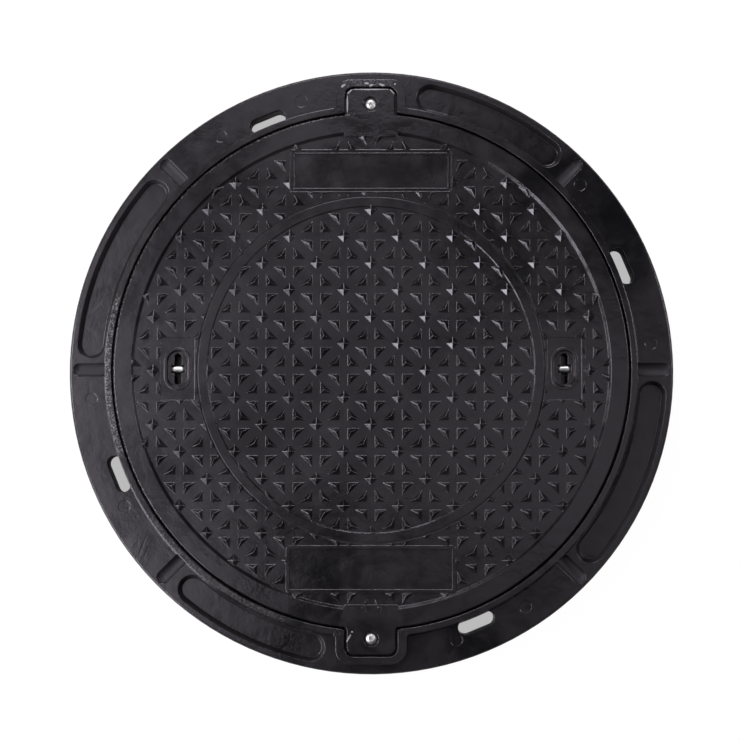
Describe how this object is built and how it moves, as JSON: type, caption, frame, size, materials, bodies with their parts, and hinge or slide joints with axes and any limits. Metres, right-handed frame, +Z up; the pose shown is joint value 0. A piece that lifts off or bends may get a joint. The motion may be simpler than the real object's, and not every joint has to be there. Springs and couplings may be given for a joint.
{
  "type": "round composite manhole cover with frame",
  "caption": "Round black composite access cover in its flanged frame, with a pyramid tread, lifting pockets and lock screws.",
  "frame": {"origin": "centre of the frame's foot, on the surface that it stands on", "axes": "+Z up out of the cover's face, +Y towards one ear with its lock screw, +X towards one lifting pocket"},
  "size_m": [0.7499, 0.75, 0.051],
  "materials": {
    "frame_composite": "black moulding compound, semi-gloss",
    "cover_composite": "black moulding compound, semi-gloss",
    "stainless": "plain stainless",
    "pin_steel": "bright drawn steel",
    "brass": "plain brass"
  },
  "bodies": {
    "root": {"frame": "frame_composite", "cover": "cover_composite", "lock_screw_top": "stainless", "lock_screw_bottom": "stainless", "insert_top": "brass", "insert_bottom": "brass", "lifting_pin_left": "pin_steel", "lifting_pin_right": "pin_steel"}
  },
  "joints": []
}
